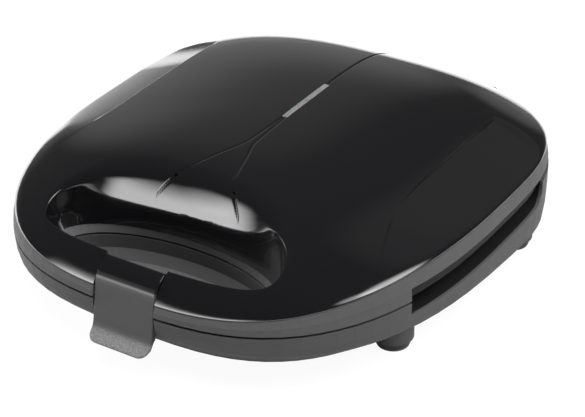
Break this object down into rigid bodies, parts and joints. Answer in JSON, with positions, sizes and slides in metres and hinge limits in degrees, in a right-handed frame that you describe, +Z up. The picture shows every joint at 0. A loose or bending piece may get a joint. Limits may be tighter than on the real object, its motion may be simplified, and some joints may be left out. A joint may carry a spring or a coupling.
{
  "type": "sandwich toaster",
  "caption": "Countertop sandwich toaster: a rounded clamshell whose hinged lid and base each carry a plate of triangular pockets, with a front finger well and a swinging latch.",
  "frame": {"origin": "on the surface the feet rest on, under the middle of the overall width and depth with the lid closed", "axes": "+Z up, -Y towards the front with the latch, +Y towards the hinges, +X to the right as seen from the front"},
  "size_m": [0.2288, 0.261, 0.064],
  "materials": {
    "base_plastic": "fine matte texture",
    "plate_coating": "dark non-stick coating on cast aluminium",
    "screw_steel": "plain",
    "heater_tube": "dull",
    "spring_steel": "plain",
    "reflector_sheet": "bright",
    "ceramic": "glazed ceramic",
    "terminal_plastic": "plain",
    "brass": "plain",
    "rubber": "matte",
    "wire_sleeve": "silicone sleeve",
    "pin_steel": "ground",
    "cover_plastic": "high gloss black",
    "frame_plastic": "fine matte texture",
    "frosted_lens": "frosted",
    "carrier_plastic": "plain",
    "lamp_glass": "clear glass over electrodes",
    "latch_plastic": "satin black"
  },
  "bodies": {
    "base": {"base_shell": "base_plastic", "lower_plate": "plate_coating", "lower_plate_screws": "screw_steel", "lower_heater": "heater_tube", "lower_heater_clamps": "spring_steel", "lower_reflector": "reflector_sheet", "thermostat": "ceramic", "thermal_fuse": "ceramic", "terminal_block": "terminal_plastic", "earth_tag": "brass", "cord_gland": "rubber", "base_wiring": "wire_sleeve", "rubber_feet": "rubber", "foot_screws": "screw_steel", "hinge_pins": "pin_steel"},
    "lid": {"lid_cover": "cover_plastic", "lid_frame": "frame_plastic", "cover_screws": "screw_steel", "upper_plate": "plate_coating", "upper_plate_screws": "screw_steel", "upper_heater": "heater_tube", "upper_heater_clamps": "spring_steel", "upper_reflector": "reflector_sheet", "indicator_lenses": "frosted_lens", "lens_carrier": "carrier_plastic", "neon_lamps": "lamp_glass", "lid_wiring": "wire_sleeve", "latch_pin": "pin_steel"},
    "latch": {"latch_clip": "latch_plastic"}
  },
  "joints": [
    {"name": "lid_hinge", "type": "hinge", "parent": "base", "child": "lid", "pos_m": [0, 0.1255, 0.038], "axis": [-1, 0, 0], "range_deg": [0, 100]},
    {"name": "latch_pivot", "type": "hinge", "parent": "lid", "child": "latch", "pos_m": [0, -0.1154, 0.0408], "axis": [-1, 0, 0], "range_deg": [0, 35]}
  ]
}
